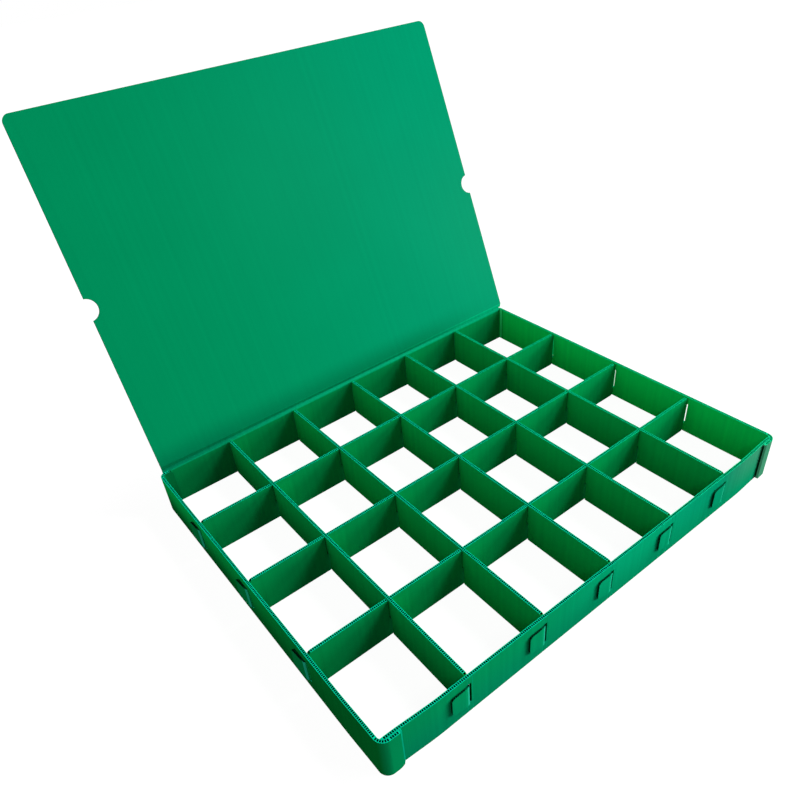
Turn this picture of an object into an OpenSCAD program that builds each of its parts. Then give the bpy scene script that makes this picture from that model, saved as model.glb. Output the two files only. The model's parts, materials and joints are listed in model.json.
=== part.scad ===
// Divided parts box of fluted plastic board: an open grid tray of wrapped walls and
// interlocking dividers, with a flat lid that turns on a pressed crease along the back.
// The origin is the middle of the tray's underside. X runs along the hinge, +Y towards
// it, +Z up. The lid is drawn standing open and leaning back.

/* [Tray] */
// Outside length of the tray, along the hinge
tray_l = 600; // [400:10:900]
// Outside width of the tray, from the front wall to the hinge
tray_w = 470; // [300:10:700]
// Height of the walls and dividers
tray_h = 54; // [50:1:120]
// Number of cells along the length
cells_l = 6; // [2:1:8]
// Number of cells across the width
cells_w = 4; // [2:1:6]

/* [Board] */
// Thickness of the fluted board
board_t = 3.5; // [2.8:0.1:4.5]
// Air between two boards that lie on or beside each other
board_gap = 0.2; // [0.1:0.05:0.4]
// Thickness of the board where a fold has pressed its flutes flat
pressed_t = 1.5; // [1:0.1:2]

/* [Wrapped corners] */
// Inside radius where a side wall bends round a front corner
wrap_r = 7; // [3:0.25:12]
// Inside radius where a side wall bends round a back corner
back_r = 4.5; // [3:0.25:7]
// Reach of a flap that laps outside the front wall, from the corner
front_flap = 24; // [20:1:50]
// Reach of a flap along the back wall, from the corner
back_flap = 17; // [13:1:40]
// Rounding of the flaps' free corners
flap_corner_r = 5; // [1:0.5:10]
// Rounding of the welded left front flap's lower corner
weld_corner_r = 9; // [1:0.5:12]
// Rounding of the front flaps' upper corners
flap_top_r = 1.5; // [1:0.5:10]
// Length over which a front flap's free end is pressed thin
weld_l = 2.5; // [2:0.5:7]
// Thickness of the right front flap's free end
loose_end_t = 1.8; // [1.5:0.1:2.8]
// Distance that the right front flap's free end stands off the front wall
loose_lift = 0.3; // [0:0.1:3]

/* [Dividers] */
// Rounding of the dividers' end corners
divider_corner_r = 4; // [1:0.5:8]
// Air between a divider's end and the wall it meets
divider_end_gap = 0.4; // [0.1:0.1:1.5]
// Air between a divider and the edge of the half-lap slot that it leans on
lap_side_gap = 0.25; // [0.1:0.05:0.5]
// Free width of a half-lap slot on the divider's other side
lap_free_w = 1.25; // [0.25:0.25:2.5]
// Air between two dividers at the bottom of their half-lap slots
lap_end_gap = 0.6; // [0.2:0.1:1.5]

/* [Tabs] */
// Length of a divider's tab, folded flat outside the wall
tab_l = 21; // [14:1:28]
// Thickness of a tab, which its folding has pressed together
tab_t = 2.2; // [1.6:0.1:3]
// Height of a tab where it passes through the wall
tab_h = 29; // [26:1:34]
// Height of a tab at its free end
tab_tip_h = 25; // [18:1:26]
// Rounding of a tab's free corners
tab_corner_r = 4.5; // [1:0.5:5]
// Height of the tabs' middle above the middle of the wall
tab_rise = 1.5; // [-4:0.5:4]
// Further rise of the middle of a tab's free end
tab_tip_rise = 2; // [0:0.5:3]
// Inside radius of a tab's fold
tab_fold_r = 0.4; // [0.35:0.05:0.6]
// Length over which a tab thickens after the fold
tab_ease_l = 4; // [2:0.5:8]
// Angle at which the cross dividers' tabs spring off the front and back walls
cross_tab_spring = 1; // [0:0.5:8]
// Angle at which the long dividers' tabs spring off the side walls
long_tab_spring = 3; // [0:0.5:10]
// Air above and below a tab in its wall slot
slot_end_gap = 0.5; // [0.2:0.1:1.5]
// Air between a tab's neck and the slot edge that it folds over
slot_side_gap = 0.25; // [0.15:0.05:0.3]
// Free width of a slot beyond the divider's other face
slot_free_w = 1.25; // [0.5:0.25:3]

/* [Lid] */
// Width of the tray that the closed lid leaves open along the front
lid_short = 33; // [0:0.5:60]
// Setback of the lid and back wall from the tray's left end
lid_inset_left = 6; // [0:0.5:12]
// Setback of the lid and back wall from the tray's right end
lid_inset_right = 0; // [0:0.5:12]
// Rounding of the lid's free corners
lid_corner_r = 9; // [2:1:30]
// Radius of the thumb notches in the lid's ends
notch_r = 13.5; // [8:0.5:20]
// Distance of a notch's centre outside the lid's end
notch_out = 1.5; // [0:0.5:4]
// Shift of the left notch from the middle of the lid's end towards the crease
notch_left_shift = 4.5; // [-40:0.5:40]
// Shift of the right notch from the middle of the lid's end towards the crease
notch_right_shift = 19.5; // [-40:0.5:40]
// Lean of the open lid behind the upright
lid_lean = 22; // [0:0.5:60]

/* [Crease] */
// Thickness of the pressed crease that the lid turns on
crease_t = 1; // [0.6:0.1:1.4]
// Width of the pressed band on each side of the crease line
crease_w = 3.8; // [3.6:0.1:5]
// Air between the crease's rounded edge and the back wall's tip
crease_gap = 0.7; // [0.6:0.05:1]
// Air between the closed lid and the rims
lid_rest_gap = 0.3; // [0.2:0.05:0.6]

/* [Hidden] */
board_color = [0.0, 0.55, 0.34];
inner_color = [0.0, 0.42, 0.22];
arc_steps = 48;
over = 1;
wrap_out_r = wrap_r + board_t;
back_out_r = back_r + board_t;
left_x = -tray_l / 2;
front_y = -tray_w / 2;
back_y = tray_w / 2;
front_bend_y = front_y - board_gap - board_t + wrap_out_r;
tuck_out_y = back_y - board_t - board_gap;
lap_out_y = back_y + board_gap + board_t;
tab_z = tray_h / 2 + tab_rise;
slot_z0 = tab_z - tab_h / 2 - slot_end_gap;
slot_h = tab_h + 2 * slot_end_gap;
pivot_y = back_y - crease_t / 2;
pivot_z = tray_h + lid_rest_gap + board_t - crease_t / 2;
wall_tip_z = pivot_z - crease_t / 2 - crease_gap;
lid_l = pivot_y - front_y - lid_short;
sheet_x0 = left_x + lid_inset_left;
sheet_x1 = -left_x - lid_inset_right;

// Middle of cross divider i, counted from the left wall
function cross_x(i) = left_x + board_t / 2 + (tray_l - board_t) * i / cells_l;

// Middle of long divider j, counted from the front wall
function long_y(j) = front_y + board_t / 2 + (tray_w - board_t) * j / cells_w;

// Points of an arc round c from angle a0 to angle a1
function arc(c, r, a0, a1, n = 8) =
    [for (k = [0 : n]) let (a = a0 + (a1 - a0) * k / n) c + r * [cos(a), sin(a)]];

// What a rounded corner at the origin takes off a square one, in 2D
module corner_waste(r) {
    difference() {
        translate([-over, -over]) square(r + over);
        translate([r, r]) circle(r, $fn = arc_steps);
    }
}

// One quarter of a bent board in plan, in the quadrant below and left of the origin
module bend_plan(r) {
    difference() {
        intersection() {
            circle(r + board_t, $fn = arc_steps);
            translate([-r - board_t, -r - board_t]) square(r + board_t);
        }
        circle(r, $fn = arc_steps);
    }
}

// Slot for a tab that folds towards +X, through a wall whose inner face is Y = 0
module tab_slot() {
    x0 = -board_t / 2 - slot_free_w;
    x1 = board_t / 2 + slot_side_gap;
    translate([x0, -over, slot_z0]) cube([x1 - x0, board_t + 2 * over, slot_h]);
}

// Plan of a tab: thin neck through the wall, fold towards +X that springs back by an
// angle, then the tab's own thickness
module tab_plan(spring) {
    fold_c = [board_t / 2 + tab_fold_r, board_t + board_gap - tab_fold_r];
    neck_x = board_t / 2 - pressed_t;
    flap_l = board_t / 2 + tab_l - fold_c[0];
    along = [cos(spring), sin(spring)];
    out = [-sin(spring), cos(spring)];
    inner_face = fold_c + tab_fold_r * out;
    outer_face = inner_face + tab_t * out;
    polygon(concat(
        [[neck_x, -divider_end_gap - over]],
        arc(fold_c, tab_fold_r + pressed_t, 180, 90 + spring),
        [
            outer_face + tab_ease_l * along,
            outer_face + flap_l * along,
            inner_face + flap_l * along
        ],
        arc(fold_c, tab_fold_r, 90 + spring, 180),
        [[board_t / 2, -divider_end_gap - over]]
    ));
}

// Outline of a tab seen square on, tapering to a free end with round corners
module tab_outline() {
    root_x = board_t / 2 + tab_fold_r + pressed_t;
    end_x = board_t / 2 + tab_l;
    slope = atan((tab_h - tab_tip_h) / 2 / (end_x - root_x));
    corner_x = end_x - tab_corner_r;
    corner_z = tab_h / 2 - (corner_x - root_x) * tan(slope) - tab_corner_r / cos(slope);
    upper = concat(
        [[-board_t, tab_h / 2], [root_x, tab_h / 2]],
        arc([corner_x, corner_z], tab_corner_r, 90 - slope, 0)
    );
    lower = [for (k = [len(upper) - 1 : -1 : 0]) [upper[k][0], -upper[k][1]]];
    slant = tab_tip_rise / (end_x - root_x);
    translate([0, tab_z])
        polygon([for (p = concat(upper, lower)) p + [0, max(0, p[0] - root_x) * slant]]);
}

// A tab that folds towards +X, with the wall's inner face on Y = 0
module tab(spring) {
    reach_y = 2 * board_t + board_gap + tab_l;
    intersection() {
        linear_extrude(tray_h) tab_plan(spring);
        translate([0, reach_y, 0]) rotate([90, 0, 0])
            linear_extrude(reach_y + board_t) tab_outline();
    }
}

// A divider along X, centred on the origin, with its tabs folded towards +Y and springing
// back, and half-lap slots at the places slots_x, from below or from above
module divider(inside_l, slots_x, from_below, spring) {
    plate_l = inside_l - 2 * divider_end_gap;
    lap_w = board_t + lap_side_gap + lap_free_w;
    lap_h = (tray_h + lap_end_gap) / 2;
    difference() {
        translate([0, board_t / 2, 0]) rotate([90, 0, 0]) linear_extrude(board_t) difference() {
            translate([-plate_l / 2, 0]) square([plate_l, tray_h]);
            for (sx = [-1, 1], top = [0, 1])
                translate([sx * plate_l / 2, top * tray_h])
                    mirror([sx > 0 ? 1 : 0, 0]) mirror([0, top])
                        corner_waste(divider_corner_r);
        }
        for (x = slots_x)
            translate([
                x - board_t / 2 - lap_free_w,
                -board_t,
                from_below ? -over : tray_h - lap_h
            ])
                cube([lap_w, 2 * board_t, lap_h + over]);
    }
    for (end = [0, 1])
        mirror([end, 0, 0]) translate([inside_l / 2, 0, 0])
            rotate([0, 0, -90]) mirror([1, 0, 0]) tab(spring);
}

// A side wall with both of its bends and flaps. The front flap's free end has the
// thickness end_t, stands off the front wall by lift and has a lower corner of lower_r.
// The outside of the back flap is at back_out_y.
module side_wall(end_t, lift, lower_r, back_out_y) {
    lap_y = front_y - board_gap;
    back_bend_y = back_out_y - back_out_r;
    end_x = left_x + front_flap;
    lift_at_weld = lift * (front_flap - weld_l - wrap_out_r) / (front_flap - wrap_out_r);
    difference() {
        linear_extrude(tray_h) {
            translate([left_x, front_bend_y]) square([board_t, back_bend_y - front_bend_y]);
            translate([left_x + wrap_out_r, front_bend_y]) bend_plan(wrap_r);
            translate([left_x + back_out_r, back_bend_y]) mirror([0, 1]) bend_plan(back_r);
            polygon([
                [left_x + wrap_out_r, lap_y],
                [left_x + wrap_out_r, lap_y - board_t],
                [end_x - weld_l, lap_y - lift_at_weld - board_t],
                [end_x, lap_y - lift - end_t],
                [end_x, lap_y - lift]
            ]);
            translate([left_x + back_out_r, back_out_y - board_t])
                square([back_flap - back_out_r, board_t]);
        }
        for (top = [0, 1]) {
            translate([end_x, front_y, top * tray_h]) mirror([0, 0, top])
                flap_corner(top == 0 ? lower_r : flap_top_r);
            translate([left_x + back_flap, back_y, top * tray_h]) mirror([0, 0, top])
                flap_corner(flap_corner_r);
        }
        for (j = [1 : cells_w - 1])
            translate([left_x + board_t, long_y(j), 0]) rotate([0, 0, 90]) tab_slot();
    }
}

// Cutter that rounds a flap's lower free corner, from the flap's end at the origin
module flap_corner(r) {
    translate([0, 3 * board_t, 0]) rotate([90, 0, 0]) linear_extrude(6 * board_t)
        mirror([1, 0]) corner_waste(r);
}

// The left wall tucks its back flap inside the back wall
module left_wall() {
    color(board_color) side_wall(pressed_t, 0, weld_corner_r, tuck_out_y);
}

// The right wall laps its back flap outside the back wall
module right_wall() {
    color(inner_color) mirror([1, 0, 0])
        side_wall(loose_end_t, loose_lift, flap_corner_r, lap_out_y);
}

// The front wall stands inside both front flaps, and its rounded ends fill their bends
module front_wall() {
    bend_x = left_x + wrap_out_r;
    color(board_color) difference() {
        linear_extrude(tray_h) {
            translate([bend_x, front_y]) square([-2 * bend_x, board_t]);
            intersection() {
                translate([left_x, front_y]) square([tray_l, board_t]);
                for (x = [bend_x, -bend_x])
                    translate([x, front_bend_y])
                        circle(wrap_r - board_gap, $fn = arc_steps);
            }
        }
        for (i = [1 : cells_l - 1])
            translate([cross_x(i), front_y + board_t, 0]) rotate([0, 0, 180]) tab_slot();
    }
}

// The back wall thins to a tip under the crease line, which the lid's edge turns above.
// Its right end stands inside the right wall's back flap and fills the bend.
module back_wall() {
    in_y = back_y - board_t;
    taper_z = pivot_z - crease_w;
    bend_x = -left_x - back_out_r;
    color(board_color) difference() {
        intersection() {
            translate([sheet_x0, 0, 0]) rotate([90, 0, 90])
                linear_extrude(tray_l) polygon([
                    [in_y, 0],
                    [back_y, 0],
                    [back_y, wall_tip_z],
                    [back_y - crease_t, wall_tip_z],
                    [in_y, taper_z]
                ]);
            translate([0, 0, -over]) linear_extrude(wall_tip_z + 2 * over) {
                translate([left_x, in_y - over])
                    square([bend_x - left_x, board_t + 2 * over]);
                translate([bend_x, lap_out_y - back_out_r])
                    circle(back_r - board_gap, $fn = arc_steps);
            }
        }
        for (i = [1 : cells_l - 1])
            translate([cross_x(i), in_y, 0]) mirror([1, 0, 0]) tab_slot();
    }
}

// The lid in its own plane: Z runs from the crease line to the free edge, +Y is outside
module lid_board() {
    out_y = crease_t / 2;
    in_y = out_y - board_t;
    translate([0, out_y, 0]) rotate([90, 0, 0]) linear_extrude(board_t) difference() {
        translate([sheet_x0, crease_w]) square([sheet_x1 - sheet_x0, lid_l - crease_w]);
        translate([sheet_x0, lid_l]) mirror([0, 1]) corner_waste(lid_corner_r);
        translate([sheet_x1, lid_l]) mirror([1, 0]) mirror([0, 1]) corner_waste(lid_corner_r);
        translate([sheet_x0 - notch_out, lid_l / 2 - notch_left_shift])
            circle(notch_r, $fn = arc_steps);
        translate([sheet_x1 + notch_out, lid_l / 2 - notch_right_shift])
            circle(notch_r, $fn = arc_steps);
    }
    translate([sheet_x0, 0, 0]) rotate([90, 0, 90]) linear_extrude(sheet_x1 - sheet_x0) {
        circle(crease_t / 2, $fn = arc_steps);
        polygon([
            [out_y, 0],
            [out_y, crease_w],
            [in_y, crease_w],
            [-out_y, 0]
        ]);
    }
}

module lid() {
    color(board_color) translate([0, pivot_y, pivot_z]) rotate([-lid_lean, 0, 0]) lid_board();
}

// Long dividers run along X; they are slotted from above and fold their tabs to the back
module long_divider(j) {
    color(inner_color) translate([0, long_y(j), 0])
        divider(
            tray_l - 2 * board_t,
            [for (i = [1 : cells_l - 1]) cross_x(i)],
            false,
            long_tab_spring
        );
}

// Cross dividers run along Y; they are slotted from below and fold their tabs to the left
module cross_divider(i) {
    color(inner_color) translate([cross_x(i), 0, 0]) rotate([0, 0, 90])
        divider(
            tray_w - 2 * board_t,
            [for (j = [1 : cells_w - 1]) long_y(j)],
            true,
            cross_tab_spring
        );
}

lid();
back_wall();
left_wall();
right_wall();
front_wall();
for (j = [1 : cells_w - 1])
    long_divider(j);
for (i = [1 : cells_l - 1])
    cross_divider(i);
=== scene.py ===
import json
import math

import bmesh
import bpy
from mathutils import Matrix, Vector


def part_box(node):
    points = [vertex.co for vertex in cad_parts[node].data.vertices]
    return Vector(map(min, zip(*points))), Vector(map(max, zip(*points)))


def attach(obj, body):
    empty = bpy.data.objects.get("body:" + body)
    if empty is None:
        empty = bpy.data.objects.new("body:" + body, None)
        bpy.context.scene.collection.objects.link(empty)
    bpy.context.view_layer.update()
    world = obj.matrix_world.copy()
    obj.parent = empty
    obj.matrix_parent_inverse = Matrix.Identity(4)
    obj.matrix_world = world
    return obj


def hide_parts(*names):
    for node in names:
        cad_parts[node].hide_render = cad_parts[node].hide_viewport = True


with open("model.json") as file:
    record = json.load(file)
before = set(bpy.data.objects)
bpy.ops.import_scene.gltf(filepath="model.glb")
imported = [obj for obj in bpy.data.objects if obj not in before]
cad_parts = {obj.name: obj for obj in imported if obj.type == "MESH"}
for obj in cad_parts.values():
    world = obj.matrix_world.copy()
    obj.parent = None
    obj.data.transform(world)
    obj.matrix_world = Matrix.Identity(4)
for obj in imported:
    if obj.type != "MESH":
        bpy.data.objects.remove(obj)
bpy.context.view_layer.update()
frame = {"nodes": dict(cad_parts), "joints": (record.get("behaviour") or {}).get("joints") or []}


# The left side wall
# One strip of fluted plastic board, 54 mm high, with its flutes upright. It bends round
# both left corners: the front flap laps outside the front wall and is welded to it, and
# the back flap tucks inside the back wall.
board_t = 0.0035
flute_pitch = 0.00228
rib = 0.00064
skin = 0.00055
merge_step = 1e-6
hair = 0.0001
end_margin = 0.002

low_corner, high_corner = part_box("left_wall")
left_x = low_corner.x
side_front, side_back = low_corner.y, high_corner.y
wall_h = high_corner.z
inside_x = -left_x - board_t + hair
inside_y = side_back + 3 * hair
front_bend_r, back_bend_r = 0.0105, 0.008
front_flap_end = 0.024
back_flap_end = 0.017
pull_reach = 0.07
pull_slices = 10
front_corner_pulls = (
    (Vector((left_x, side_front)), Vector((0.0009, 0.0026, 0.0))),
    (Vector((-left_x, side_front)), Vector((0.0, 0.0025, 0.0))),
)
pressed_l = 0.0025
sharp_angle = math.radians(20)

# Every board has these materials, after the one of its outside
cut_edge, flute_wall, shaded_end, pressed_and_lit_part, inner_face, creased_part = range(1, 7)


def join_solid(node):
    """The shape of one solid of the model, with its loose triangles joined."""
    shape = bmesh.new()
    shape.from_mesh(frame["nodes"][node].data)
    bmesh.ops.remove_doubles(shape, verts=shape.verts, dist=merge_step)
    return shape


def bore_flute(cutter, place, low, high, hole_t=board_t - 2 * skin):
    """One flute: place has X along the board, Y through it and Z along the flute."""
    middle = Matrix.Translation((0, 0, (low + high) / 2))
    size = Matrix.Diagonal((flute_pitch - rib, hole_t, high - low, 1))
    bmesh.ops.create_cube(cutter, size=1, matrix=place @ middle @ size)


def bore_straight(
    cutter, start, end, low, high, base=Matrix(), hole_t=board_t - 2 * skin
):
    """The flutes of a flat stretch of board, between two points of its middle plane."""
    start, end = Vector((*start, 0)), Vector((*end, 0))
    run = end - start
    turn = Matrix.Rotation(math.atan2(run.y, run.x), 4, "Z")
    count = int((run.length - rib) / flute_pitch)
    first = (run.length - (count - 1) * flute_pitch) / 2
    for k in range(count):
        point = start + run.normalized() * (first + k * flute_pitch)
        bore_flute(cutter, base @ Matrix.Translation(point) @ turn, low, high, hole_t)


def bore_bend(cutter, centre, outer_r, start_angle, low, high):
    """The flutes of a quarter bend of a side wall, from start_angle on, in degrees."""
    middle_r = outer_r - board_t / 2
    count = round(middle_r * math.pi / 2 / flute_pitch)
    for k in range(count):
        angle = math.radians(start_angle + 90 * (k + 0.5) / count)
        out = Vector((math.cos(angle), math.sin(angle), 0))
        point = Vector((*centre, 0)) + middle_r * out
        turn = Matrix.Rotation(angle + math.pi / 2, 4, "Z")
        bore_flute(cutter, Matrix.Translation(point) @ turn, low, high)


def score(cutter, low, high, part):
    """A shallow line pressed into a face of the board, from corner to corner of a box."""
    size = Matrix.Diagonal((*(high - low), 1))
    place = Matrix.Translation((low + high) / 2)
    made = bmesh.ops.create_cube(cutter, size=1, matrix=place @ size)
    for face in {face for vert in made["verts"] for face in vert.link_faces}:
        face.material_index = part


def mark_faces(shape, flute_line, end_lines):
    """Marks the faces that are inside the tray, the edges that are cut across the flutes,
    and the ones painted near black as shade: the cut edges inside the slots, and the
    narrow ends of flaps and tabs, which face along end_lines. Faces marked already stay so."""
    for face in shape.faces:
        if face.material_index:
            continue
        across = flute_line.cross(face.normal)
        reach = [across.dot(vert.co) for vert in face.verts]
        narrow = max(reach) - min(reach) < 1.1 * board_t
        middle = face.calc_center_median()
        if abs(face.normal.dot(flute_line)) > 0.95:
            in_slot = 0.3 * wall_h < middle.z < 0.9 * wall_h
            face.material_index = shaded_end if in_slot else cut_edge
        elif narrow and any(face.normal.dot(line) > 0.9999 for line in end_lines):
            face.material_index = shaded_end
        elif abs(middle.x) < inside_x and abs(middle.y) < inside_y:
            face.material_index = inner_face


def slice_corners(shape):
    """Cuts a wall into short lengths near the front corners, so that it can bend there."""
    for k in range(1, pull_slices + 1):
        away = pull_reach * k / pull_slices
        for place, normal in (
            (Vector((left_x + away, 0, 0)), Vector((1, 0, 0))),
            (Vector((-left_x - away, 0, 0)), Vector((1, 0, 0))),
            (Vector((0, side_front + away, 0)), Vector((0, 1, 0))),
        ):
            parts = shape.verts[:] + shape.edges[:] + shape.faces[:]
            bmesh.ops.bisect_plane(shape, geom=parts, plane_co=place, plane_no=normal)


def pull_in(shape):
    """Draws the tray's front corners in a little, as the strained bends of the strips do."""
    for vert in shape.verts:
        for corner, move in front_corner_pulls:
            away = (vert.co.to_2d() - corner).length / pull_reach
            vert.co += max(0, 1 - away * away) ** 2 * move


def finish_board(
    name, shape, cutter, flute_line, outer, inner, creased, end_lines=(), strained=False
):
    """Cuts the flutes out of a board. outer, inner and creased are its materials outside the
    tray, inside it and on its creases, pressed lines and welds, or on a divider the tabs'
    edges; outer and inner are copies of the green painted with the light and shade of each
    side, and a strained one is drawn in at the corners."""
    mark_faces(shape, flute_line, end_lines)
    for face in cutter.faces:
        face.material_index = face.material_index or flute_wall
    if strained:
        slice_corners(shape)
        pull_in(shape)
        pull_in(cutter)
    materials = (outer, *cut_plastics, inner, creased)
    parts = []
    for label, source in ((name, shape), (name + "_flutes", cutter)):
        mesh = bpy.data.meshes.new(label)
        source.to_mesh(mesh)
        source.free()
        for material in materials:
            mesh.materials.append(material)
        part = bpy.data.objects.new(label, mesh)
        bpy.context.scene.collection.objects.link(part)
        parts.append(part)
    board, flutes = parts
    cut = board.modifiers.new("flutes", "BOOLEAN")
    cut.operation = "DIFFERENCE"
    cut.solver = "MANIFOLD"
    cut.object = flutes
    bpy.context.view_layer.update()
    made = board.evaluated_get(bpy.context.evaluated_depsgraph_get())
    cut_mesh = bpy.data.meshes.new_from_object(made)
    board.modifiers.clear()
    board.data = cut_mesh
    bpy.data.objects.remove(flutes)
    cut_mesh.shade_smooth()
    cut_mesh.set_sharp_from_angle(angle=sharp_angle)
    even = board.modifiers.new("even_shading", "WEIGHTED_NORMAL")
    even.keep_sharp = True
    return board


coat_roughness, roughness_spread = 0.3, 0.06
streak_scale, cloud_scale = 160, 9
streak_detail, cloud_detail = 4, 3
noise_low, noise_high = 0.3, 0.7
rib_line_depth, rib_line_strength = 0.00008, 0.25


def plastic(name, colour, run, streaks=0.10, roughness=0.42, changes=(), coat=0.03):
    """Satin plastic board: streaks along its flutes, and a faint rib line at each flute.
    run is the direction along the board, across its flutes. Each of its changes is an
    axis, a start, an end and the colour at the start, which turns to colour at the end;
    the changes paint light and shade onto the board."""
    material = bpy.data.materials.new(name)
    material.use_nodes = True
    nodes, links = material.node_tree.nodes, material.node_tree.links
    shader = nodes["Principled BSDF"]
    shader.inputs["Specular IOR Level"].default_value = 0.0
    shader.inputs["Coat Weight"].default_value = coat
    shader.inputs["Coat Roughness"].default_value = coat_roughness
    place = nodes.new("ShaderNodeTexCoord")
    along = nodes.new("ShaderNodeVectorMath")
    along.operation = "DOT_PRODUCT"
    along.inputs[1].default_value = run
    links.new(place.outputs["Object"], along.inputs[0])

    phase = nodes.new("ShaderNodeMath")
    phase.operation = "MULTIPLY"
    phase.inputs[1].default_value = 2 * math.pi / flute_pitch
    links.new(along.outputs["Value"], phase.inputs[0])
    wave = nodes.new("ShaderNodeMath")
    wave.operation = "SINE"
    links.new(phase.outputs[0], wave.inputs[0])

    streak = nodes.new("ShaderNodeTexNoise")
    streak.noise_dimensions = "1D"
    streak.inputs["Scale"].default_value = streak_scale
    streak.inputs["Detail"].default_value = streak_detail
    links.new(along.outputs["Value"], streak.inputs["W"])
    cloud = nodes.new("ShaderNodeTexNoise")
    cloud.inputs["Scale"].default_value = cloud_scale
    cloud.inputs["Detail"].default_value = cloud_detail
    links.new(place.outputs["Object"], cloud.inputs["Vector"])

    blend = nodes.new("ShaderNodeMath")
    blend.operation = "MULTIPLY_ADD"
    blend.inputs[1].default_value = 0.5
    links.new(streak.outputs["Fac"], blend.inputs[0])
    half_cloud = nodes.new("ShaderNodeMath")
    half_cloud.operation = "MULTIPLY"
    half_cloud.inputs[1].default_value = 0.5
    links.new(cloud.outputs["Fac"], half_cloud.inputs[0])
    links.new(half_cloud.outputs[0], blend.inputs[2])
    tone = nodes.new("ShaderNodeMapRange")
    tone.inputs["From Min"].default_value = noise_low
    tone.inputs["From Max"].default_value = noise_high
    tone.inputs["To Min"].default_value = 1 - streaks
    tone.inputs["To Max"].default_value = 1 + streaks
    links.new(blend.outputs[0], tone.inputs["Value"])
    paint = nodes.new("ShaderNodeVectorMath")
    paint.operation = "SCALE"
    paint.inputs[0].default_value = colour
    for axis, start, end, start_colour in changes:
        parts = nodes.new("ShaderNodeSeparateXYZ")
        links.new(place.outputs["Object"], parts.inputs["Vector"])
        turn = nodes.new("ShaderNodeMapRange")
        turn.interpolation_type = "SMOOTHSTEP"
        turn.inputs["From Min"].default_value = start
        turn.inputs["From Max"].default_value = end
        links.new(parts.outputs[axis], turn.inputs["Value"])
        change = nodes.new("ShaderNodeMix")
        change.data_type = "VECTOR"
        change.inputs["A"].default_value = start_colour
        change.inputs["B"].default_value = colour
        for link in paint.inputs[0].links:
            links.new(link.from_socket, change.inputs["B"])
        links.new(turn.outputs["Result"], change.inputs["Factor"])
        links.new(change.outputs["Result"], paint.inputs[0])
    links.new(tone.outputs["Result"], paint.inputs["Scale"])
    links.new(paint.outputs["Vector"], shader.inputs["Base Color"])

    gloss = nodes.new("ShaderNodeMapRange")
    gloss.inputs["To Min"].default_value = roughness - roughness_spread
    gloss.inputs["To Max"].default_value = roughness + roughness_spread
    links.new(cloud.outputs["Fac"], gloss.inputs["Value"])
    links.new(gloss.outputs["Result"], shader.inputs["Roughness"])

    height = nodes.new("ShaderNodeMath")
    height.operation = "MULTIPLY_ADD"
    height.inputs[1].default_value = 0.5
    links.new(wave.outputs[0], height.inputs[0])
    links.new(streak.outputs["Fac"], height.inputs[2])
    bump = nodes.new("ShaderNodeBump")
    bump.inputs["Strength"].default_value = rib_line_strength
    bump.inputs["Distance"].default_value = rib_line_depth
    links.new(height.outputs[0], bump.inputs["Height"])
    links.new(bump.outputs["Normal"], shader.inputs["Normal"])
    return material


along_x, along_y, upright = Vector((1, 0, 0)), Vector((0, 1, 0)), Vector((0, 0, 1))
# Painted light and shade: the green as it looks at the front left corner, laid on the left
# wall's front bend and on the front wall's left end.
corner_shade_colour = (0.0, 0.43, 0.148)
# Painted shade: the left wall's outside is a darker, yellower copy of the green. It is darker
# still towards the bottom and towards the front, and lighter on the front bend.
left_outside_shaded_plastic = plastic("left_wall_shaded_plastic", (0.0, 0.68, 0.12), along_y, changes=(
    ("Z", 0, wall_h, (0.0, 0.16, 0.025)),
    ("Y", side_front, side_back, (0.0, 0.22, 0.034)),
    ("Y", side_front, side_front + front_bend_r, corner_shade_colour),
))
# Painted shade: a darker copy of the green for the left wall's faces inside the tray.
left_inner_shaded_plastic = plastic("left_inside_shaded_plastic", (0.0, 0.19, 0.055), along_y)
weld_plastic = plastic("weld_plastic", (0.0, 0.31, 0.17), upright, roughness=0.5)
# The cut edges are a paler green. Towards the right end they are painted less blue, a tint of
# the light that falls there.
rim_turn_x = -0.05
edge_plastic = plastic(
    "cut_edge_plastic", (0.0, 0.53, 0.295), along_x, roughness=0.5,
    changes=(("X", -left_x, rim_turn_x, (0.0, 0.53, 0.225)),),
)
# Painted shade: the flute walls are near black, for the shade inside the holes. Towards the
# right end they are painted lighter, so that the holes there don't show.
flute_shade_plastic = plastic(
    "flute_wall_shade_plastic", (0.0, 0.03, 0.009), along_x, roughness=0.5,
    changes=(("X", -left_x, rim_turn_x, (0.0, 0.36, 0.14)),),
)
# Painted shade: the narrow ends of flaps and tabs and the cut edges in the slots are near black,
# for the shade that falls on them.
end_shade_plastic = plastic("painted_shade_end_plastic", (0.0, 0.03, 0.01), upright, roughness=0.5)
# The pale folds are partly stress-whitened board and partly a painted highlight, where the folds
# catch the light.
pressed_and_lit_plastic = plastic("pressed_and_lit_plastic", (0.02, 0.60, 0.36), along_x, roughness=0.5)
cut_plastics = (edge_plastic, flute_shade_plastic, end_shade_plastic, pressed_and_lit_plastic)


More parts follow.
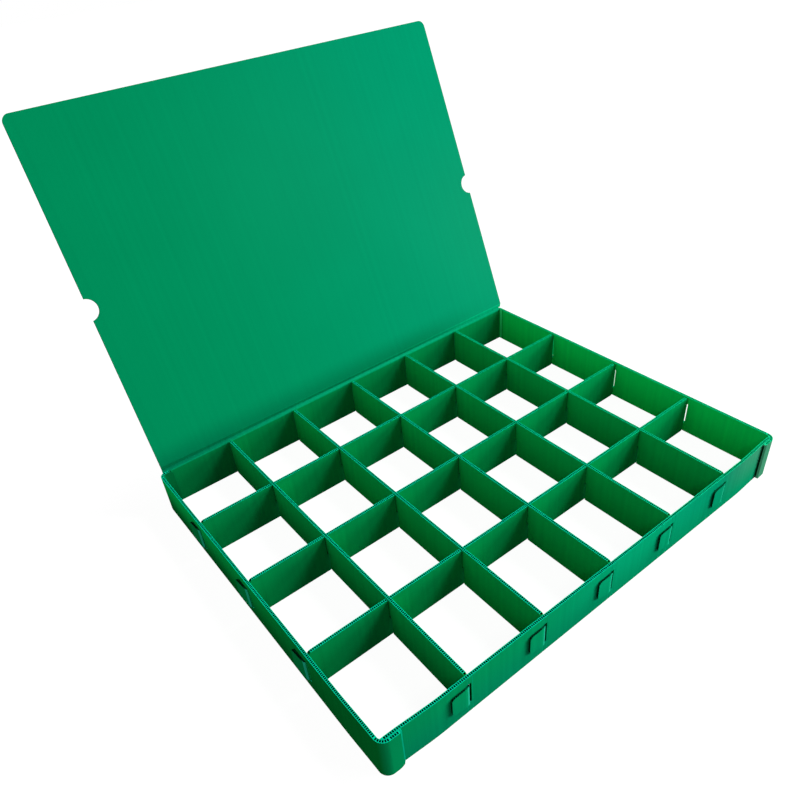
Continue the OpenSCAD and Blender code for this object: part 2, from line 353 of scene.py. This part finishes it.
def strip_flutes(cutter, side, lift, back_outer_y):
    """The flutes of a side wall on the left (side -1) or right (1), from the end of its
    front flap, which stands off the front wall by the angle lift, to the end of its back
    flap, whose outer face is at back_outer_y."""
    edge_x = side * -left_x
    front_centre = (edge_x - side * front_bend_r, side_front + front_bend_r)
    back_centre = (edge_x - side * back_bend_r, back_outer_y - back_bend_r)
    mid_x = edge_x - side * board_t / 2
    flap_start = Vector((front_centre[0], side_front + board_t / 2))
    flap_l = front_flap_end - pressed_l - front_bend_r
    flap_end = flap_start + flap_l * Vector((-side, -math.tan(lift)))
    bore_straight(cutter, flap_start, flap_end, low, high)
    bore_bend(cutter, front_centre, front_bend_r, 180 if side < 0 else 270, low, high)
    bore_straight(cutter, (mid_x, front_centre[1]), (mid_x, back_centre[1]), low, high)
    bore_bend(cutter, back_centre, back_bend_r, 90 if side < 0 else 0, low, high)
    back_y = back_outer_y - board_t / 2
    back_end_x = edge_x - side * back_flap_end
    bore_straight(cutter, (back_centre[0], back_y), (back_end_x, back_y), low, high)


low, high = -end_margin, wall_h + end_margin
flutes = bmesh.new()
strip_flutes(flutes, -1, 0.0, side_back)
left_shape = join_solid("left_wall")
weld_x = left_x + front_flap_end - pressed_l
parts = left_shape.verts[:] + left_shape.edges[:] + left_shape.faces[:]
bmesh.ops.bisect_plane(left_shape, geom=parts, plane_co=(weld_x, 0, 0), plane_no=along_x)
left_shape.normal_update()
for face in left_shape.faces:
    slants = face.normal.x > 0.3 and face.normal.y < -0.3
    if face.calc_center_median().x > weld_x and (slants or face.normal.z > 0.5):
        face.material_index = creased_part
left_wall = finish_board(
    "left_side_board", left_shape, flutes, upright,
    left_outside_shaded_plastic, left_inner_shaded_plastic, weld_plastic, (along_x,), True,
)
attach(left_wall, "tray")
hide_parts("left_wall")


# The right side wall
# The same strip the other way round. Its front flap isn't welded and stands a little off
# the front wall, and its back flap laps outside the back wall, past a pressed line.
right_front, right_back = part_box("right_wall")
right_x = right_back.x
loose_angle = math.atan(
    (side_front - right_front.y) / (front_flap_end - pressed_l - front_bend_r)
)
flutes = bmesh.new()
strip_flutes(flutes, 1, loose_angle, right_back.y)
score_x = right_x - board_t
score_start = 0.001
# Painted light at the back corner: the pale line scored into the inside face is a painted
# highlight of the crushed fold, and the near black line beside it is painted shade.
lit_line = (0.2262, 0.2306, 0.00015, creased_part)
shaded_line = (0.2252, 0.2261, 0.0003, shaded_end)
for near_y, far_y, depth, part in (lit_line, shaded_line):
    score(
        flutes, Vector((score_x - score_start, near_y, low)),
        Vector((score_x + depth, far_y, high)), part,
    )
# Painted sheen: the front bend and flap are a greyer, bluer green, for the light reflected
# there.
right_sheen_plastic = plastic("right_wall_sheen_plastic", (0.0, 0.31, 0.10), along_y, changes=(
    ("Y", side_front, side_front + front_bend_r, (0.07, 0.34, 0.19)),
))
# Painted light: the right wall's inside is a much lighter green, for the light that shines
# through the board from the lamp outside.
right_inner_glow_plastic = plastic(
    "right_inside_glow_plastic", (0.0, 0.65, 0.115), along_y, streaks=0.08
)
right_lit_line_plastic = plastic("right_lit_line_plastic", (0.04, 0.88, 0.28), upright)
right_wall = finish_board(
    "right_side_board", join_solid("right_wall"), flutes, upright, right_sheen_plastic,
    right_inner_glow_plastic, right_lit_line_plastic, (-along_x,), True,
)
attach(right_wall, "tray")
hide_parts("right_wall")


# The front wall
# A flat strip inside both front flaps, slotted for the tabs of the cross dividers, with a
# pressed line down each side of a slot. The lines are pale: the left one as pressed board
# whitens, the right one a painted highlight of the slot's edge. Its ends are rounded to
# fill the bends.
front_low, front_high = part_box("front_wall")
# Painted light and shade: the front wall is lightest in the middle, darker towards each end and
# towards the bottom, and bluer towards the right. It is greyish at the right end, a painted
# sheen. The back wall's outside and the cross dividers' tabs share it.
front_lit_plastic = plastic("front_wall_lit_plastic", (0.0, 0.50, 0.22), along_x, changes=(
    ("X", -0.16, 0.02, corner_shade_colour),
    ("X", 0.24, 0.03, (0.0, 0.365, 0.185)),
    ("X", 0.27, 0.18, (0.045, 0.365, 0.19)),
    ("Z", 0, wall_h, (0.0, 0.37, 0.16)),
))
# Painted shade: a darker, yellower copy of the green for the front wall's inside.
wall_inner_shaded_plastic = plastic("wall_inside_shaded_plastic", (0.0, 0.28, 0.077), along_x)
line_and_glint_plastic = plastic("pressed_line_and_glint_plastic", (0.0, 0.55, 0.27), along_x)
flutes = bmesh.new()
front_mid_y = (front_low.y + front_high.y) / 2
bored_into_bend = 0.0045
bored_x = right_x - front_bend_r + bored_into_bend
bore_straight(flutes, (-bored_x, front_mid_y), (bored_x, front_mid_y), low, high)
# The second line is a painted highlight along the slot's right edge.
slot_line_places = (-0.0018, 0.0044)
slot_line_w, slot_line_depth = 0.001, 0.00012
cross_nodes = [n for n in frame["nodes"] if n.startswith("cross_divider")]
for node in cross_nodes:
    slot_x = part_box(node)[1].x - board_t / 2
    for place in slot_line_places:
        line_x = slot_x + place
        score(
            flutes, Vector((line_x - slot_line_w / 2, front_low.y - score_start, low)),
            Vector((line_x + slot_line_w / 2, front_low.y + slot_line_depth, high)),
            creased_part,
        )
front_wall = finish_board(
    "front_board", join_solid("front_wall"), flutes, upright,
    front_lit_plastic, wall_inner_shaded_plastic, line_and_glint_plastic, strained=True,
)
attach(front_wall, "tray")
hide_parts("front_wall")


# The back wall
# The lower part of the sheet that is also the lid. Its flutes end at the crease, where
# they are pressed flat. Its right end is rounded to fill the right wall's bend.
back_low, back_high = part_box("back_wall")
back_shape = join_solid("back_wall")
for face in back_shape.faces:
    if 0.3 < face.normal.z < 0.9:
        face.material_index = creased_part
back_mid_y = (back_low.y + back_high.y) / 2
crease_reach = 0.0038
pivot = Vector(frame["joints"][0]["pos_m"])
flutes = bmesh.new()
bore_straight(
    flutes, (back_low.x, back_mid_y), (right_x - back_bend_r, back_mid_y),
    low, pivot.z - crease_reach - skin,
)
# Painted light and shade: the back wall's inside is a darker copy of the green, with a lighter
# band at the top, a painted highlight under the crease.
back_inner_lit_and_shaded_plastic = plastic("back_inside_lit_and_shaded_plastic", (0.0, 0.45, 0.19), along_x, changes=(
    ("Z", 0.0508, 0.052, (0.0, 0.28, 0.077)),
))
# Painted shade: the slope at the top of the back wall, under the crease, is darker towards the
# left end.
slant_shaded_plastic = plastic("crease_foot_shaded_plastic", (0.0, 0.34, 0.155), along_x, changes=(
    ("X", left_x, 0, (0.0, 0.20, 0.09)),
))
back_wall = finish_board(
    "back_board", back_shape, flutes, upright,
    front_lit_plastic, back_inner_lit_and_shaded_plastic, slant_shaded_plastic,
)
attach(back_wall, "tray")
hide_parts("back_wall")


# The dividers
# Flat strips with half-lap slots, from above in the long ones and from below in the cross
# ones. A tab at each end goes through the wall and is folded flat outside it.
end_gap = 0.0004
wall_inside_x = -left_x - board_t
wall_inside_y = back_low.y
board_gap = 0.0002
tab_l = 0.021
tab_t = 0.0022
tab_fold_r = 0.0004
tab_ease_l = 0.004
tab_hole_t = 0.0015
fold_strip = 0.001
long_spring, cross_spring = math.radians(3), math.radians(1)


def tab_lines(spring):
    """The ways that a divider's two tabs point when they fold towards +Y."""
    return [Vector((side * math.sin(spring), math.cos(spring), 0)) for side in (-1, 1)]


def divider_flutes(cutter, half_l, spring, base):
    """The flutes of a divider along X with tabs folded towards +Y, set down by base."""
    plate_end = half_l - end_gap
    bore_straight(cutter, (-plate_end, 0), (plate_end, 0), low, high, base)
    fold_x = half_l + board_t + board_gap - tab_fold_r
    fold_y = board_t / 2 + tab_fold_r
    mid = tab_fold_r + tab_t / 2
    for side, line in zip((-1, 1), tab_lines(spring)):
        line = line.to_2d()
        start = Vector((side * (fold_x + mid * line.y), fold_y - mid * abs(line.x)))
        bore_straight(
            cutter, start + tab_ease_l * line, start + (tab_l - tab_fold_r) * line,
            low, high, base, tab_hole_t,
        )


def mark_folds(shape, base):
    """Marks the edges of a divider's tabs, painted dark as shade, and their pressed folds and
    the strips beside the folds, painted pale: stress whitening with a painted highlight.
    base sets the divider down."""
    ahead = base.to_3x3() @ along_y
    strip_end = base @ Vector((0, board_t / 2 + tab_fold_r + fold_strip, 0))
    parts = shape.verts[:] + shape.edges[:] + shape.faces[:]
    bmesh.ops.bisect_plane(shape, geom=parts, plane_co=strip_end, plane_no=ahead)
    shape.normal_update()
    for face in shape.faces:
        reach = ahead.dot(face.calc_center_median() - base.translation)
        on_tab = reach > board_t / 2 + hair
        in_strip = on_tab and ahead.dot(face.calc_center_median() - strip_end) < 0
        # Painted shade: the tabs' edges get the dark material.
        if on_tab and abs(face.normal.z) > 0.05:
            face.material_index = creased_part
        # Folds and the strips beside them: stress whitening with a painted highlight.
        elif in_strip or min(abs(face.normal.x), abs(face.normal.y)) > 0.3:
            face.material_index = pressed_and_lit_part
    return shape


# Painted light: the long dividers and their tabs are a yellower copy of the green, for the light
# that reaches them through the boards.
long_lit_plastic = plastic("long_divider_lit_plastic", (0.0, 0.325, 0.087), along_x)
long_tab_lit_plastic = plastic("long_tab_lit_plastic", (0.0, 0.31, 0.08), along_y)
# Painted shade: the tabs' edges are near black, for the shade on them.
tab_edge_shade_plastic = plastic("tab_edge_shade_plastic", (0.0, 0.07, 0.03), along_x, roughness=0.5)
for node in [n for n in frame["nodes"] if n.startswith("long_divider")]:
    near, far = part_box(node)
    middle_y = near.y + board_t / 2
    flutes = bmesh.new()
    place = Matrix.Translation((0, middle_y, 0))
    divider_flutes(flutes, wall_inside_x, long_spring, place)
    strip = finish_board(
        node + "_board", mark_folds(join_solid(node), place), flutes, upright,
        long_tab_lit_plastic, long_lit_plastic, tab_edge_shade_plastic, tab_lines(long_spring),
    )
    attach(strip, "tray")
    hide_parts(node)

quarter_turn = Matrix.Rotation(math.pi / 2, 4, "Z")
# Painted light: the cross dividers' faces inside the tray are a lighter, yellower copy of the
# green, for the light that shines through them from the right.
cross_glow_plastic = plastic("cross_divider_glow_plastic", (0.0, 0.39, 0.081), along_y)
for node in cross_nodes:
    near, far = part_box(node)
    middle_x = far.x - board_t / 2
    flutes = bmesh.new()
    place = Matrix.Translation((middle_x, 0, 0)) @ quarter_turn
    divider_flutes(flutes, wall_inside_y, cross_spring, place)
    strip = finish_board(
        node + "_board", mark_folds(join_solid(node), place), flutes, upright,
        front_lit_plastic, cross_glow_plastic, tab_edge_shade_plastic,
        [quarter_turn.to_3x3() @ line for line in tab_lines(cross_spring)],
    )
    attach(strip, "tray")
    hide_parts(node)


# The lid
# The upper part of the sheet, standing open. Its flutes run from the crease to the free
# edge, and a thumb notch is cut into each end.
lid_lean = math.radians(22)
lid_l = 0.4365
crease_t = 0.001
lid_low, lid_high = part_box("lid")
stand = Matrix.Translation((0, pivot.y, pivot.z)) @ Matrix.Rotation(-lid_lean, 4, "X")
lid_line = stand.to_3x3() @ upright
lid_mid = (crease_t - board_t) / 2
flutes = bmesh.new()
bore_straight(
    flutes, (lid_low.x, lid_mid), (lid_high.x, lid_mid),
    crease_reach + skin, lid_l + end_margin, stand,
)
# Painted light and shade: the lid is darker near the crease except at its right end, and less
# blue towards the left.
lid_shaded_plastic = plastic("lid_shaded_plastic", (0.0, 0.32, 0.152), along_x, streaks=0.04, changes=(
    ("X", left_x, -left_x, (0.0, 0.30, 0.114)),
    ("Z", pivot.z, pivot.z + 0.034, (0.0, 0.20, 0.08)),
    ("X", -left_x, 0.1, (0.0, 0.32, 0.152)),
), coat=0.01)
# Painted shade: the lid's slope at the crease is dark, for the shade in the groove, and lighter
# at the right end.
lid_foot_shaded_plastic = plastic("lid_foot_shaded_plastic", (0.0, 0.27, 0.11), along_x, changes=(
    ("X", -left_x, 0.1, (0.0, 0.52, 0.235)),
))
lid_shape = join_solid("lid")
for face in lid_shape.faces:
    if -0.9 < face.normal.dot(lid_line) < -0.3:
        face.material_index = creased_part
lid = finish_board(
    "lid_board", lid_shape, flutes, lid_line, lid_shaded_plastic, lid_shaded_plastic, lid_foot_shaded_plastic
)
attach(lid, "lid")
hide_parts("lid")


# The crease
# The thin web of pressed board that is left between the back wall and the lid. It rides
# with the tray and doesn't bend when the lid turns.
web_foot_t, web_top_t = 0.0009, 0.0004
web_bury = 0.0004
web_shape = bmesh.new()
bmesh.ops.create_cube(web_shape, size=1)
web_low, web_high = back_high.z - web_bury, pivot.z
for vert in web_shape.verts:
    thick = web_top_t if vert.co.z > 0 else web_foot_t
    vert.co = Vector((
        lid_low.x if vert.co.x < 0 else lid_high.x,
        pivot.y + math.copysign(thick / 2, vert.co.y),
        web_high if vert.co.z > 0 else web_low,
    ))
web_mesh = bpy.data.meshes.new("crease_web")
web_shape.to_mesh(web_mesh)
web_shape.free()
# Painted shade: the web is dark, for the shade in the groove, and lighter at the right end.
web_mesh.materials.append(plastic("web_shaded_plastic", (0.0, 0.22, 0.095), along_x, changes=(
    ("X", -left_x, 0.1, (0.0, 0.52, 0.235)),
)))
web = bpy.data.objects.new("crease_web", web_mesh)
bpy.context.scene.collection.objects.link(web)
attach(web, "tray")


# The studio
# A pale floor and backdrop. The main light is a broad one from the right; soft panels
# stand at the front right, and weak fills come from the left and from the camera.
floor_half = 6
floor_shape = bmesh.new()
bmesh.ops.create_grid(floor_shape, x_segments=1, y_segments=1, size=floor_half)
floor_mesh = bpy.data.meshes.new("floor")
floor_shape.to_mesh(floor_mesh)
floor_shape.free()
floor = bpy.data.objects.new("floor", floor_mesh)
bpy.context.scene.collection.objects.link(floor)


def camera_ray(nodes):
    """1 for a ray from the camera and 0 for all others."""
    return nodes.new("ShaderNodeLightPath").outputs["Is Camera Ray"]


floor_paint = bpy.data.materials.new("floor_paint")
floor_paint.use_nodes = True
nodes, links = floor_paint.node_tree.nodes, floor_paint.node_tree.links
nodes.clear()
matt = nodes.new("ShaderNodeBsdfDiffuse")
matt.inputs["Color"].default_value = (0.12, 0.12, 0.12, 1)
lift = nodes.new("ShaderNodeEmission")
lift.inputs["Strength"].default_value = 0.96
bright = nodes.new("ShaderNodeAddShader")
links.new(matt.outputs[0], bright.inputs[0])
links.new(lift.outputs[0], bright.inputs[1])
choose = nodes.new("ShaderNodeMixShader")
links.new(camera_ray(nodes), choose.inputs["Fac"])
links.new(matt.outputs[0], choose.inputs[1])
links.new(bright.outputs[0], choose.inputs[2])
out = nodes.new("ShaderNodeOutputMaterial")
links.new(choose.outputs[0], out.inputs["Surface"])
floor_mesh.materials.append(floor_paint)

world = bpy.data.worlds.new("studio")
bpy.context.scene.world = world
world.use_nodes = True
nodes, links = world.node_tree.nodes, world.node_tree.links
nodes.clear()
white = nodes.new("ShaderNodeBackground")
white.inputs["Color"].default_value = (1, 1, 1, 1)
white.inputs["Strength"].default_value = 1.0
soft = nodes.new("ShaderNodeBackground")
soft.inputs["Color"].default_value = (1, 1, 1, 1)
soft.inputs["Strength"].default_value = 0.02
choose = nodes.new("ShaderNodeMixShader")
links.new(camera_ray(nodes), choose.inputs["Fac"])
links.new(soft.outputs[0], choose.inputs[1])
links.new(white.outputs[0], choose.inputs[2])
out = nodes.new("ShaderNodeOutputWorld")
links.new(choose.outputs[0], out.inputs["Surface"])


lamp_distance = 2.2
aim = Vector((0, 0, 0.1))


def add_lamp(name, kind, azimuth, height, power, width):
    """A soft lamp aimed at the box, azimuth and height degrees from its right side. A
    panel is width metres wide; a sun's light comes from width degrees of the sky."""
    data = bpy.data.lights.new(name, kind)
    data.energy = power
    if kind == "AREA":
        data.size = width
    else:
        data.angle = math.radians(width)
    level = math.cos(math.radians(height))
    line = Vector((
        level * math.cos(math.radians(azimuth)),
        level * math.sin(math.radians(azimuth)),
        math.sin(math.radians(height)),
    ))
    lamp = bpy.data.objects.new(name, data)
    lamp.location = aim + lamp_distance * line
    lamp.rotation_euler = line.to_track_quat("Z", "Y").to_euler()
    bpy.context.scene.collection.objects.link(lamp)


add_lamp("right_light", "SUN", 0, 45, 3.54, 30)
add_lamp("left_low_fill", "SUN", 180, 15, 0.55, 30)
add_lamp("left_fill", "SUN", 180, 45, 0.2, 30)
add_lamp("front_right_panel", "AREA", -35, 12, 26.6, 0.7)
add_lamp("front_panel", "AREA", -55, 30, 13, 0.7)
add_lamp("camera_fill", "AREA", -117, 44.5, 4.5, 0.2)


# The camera
# It stands at the front left corner, above the tray, and looks down into the cells.
camera_place = Vector((-0.44397, -0.52097, 0.6310))
camera_azimuth = math.radians(33.91)
camera_fall = math.radians(36.63)
camera_roll = math.radians(6.13)
picture_px = 800
focal_px = 719.73
centre_left_px, centre_drop_px = 8.6, 16.32
camera_data = bpy.data.cameras.new("camera")
camera_data.lens = focal_px / picture_px * camera_data.sensor_width
camera_data.shift_x = centre_left_px / picture_px
camera_data.shift_y = centre_drop_px / picture_px
camera_data.clip_start, camera_data.clip_end = 0.01, 100
camera = bpy.data.objects.new("camera", camera_data)
camera.matrix_world = (
    Matrix.Translation(camera_place)
    @ Matrix.Rotation(-camera_azimuth, 4, "Z")
    @ Matrix.Rotation(math.pi / 2 - camera_fall, 4, "X")
    @ Matrix.Rotation(-camera_roll, 4, "Z")
)
bpy.context.scene.collection.objects.link(camera)
bpy.context.scene.camera = camera
bpy.context.scene.view_settings.view_transform = "Standard"
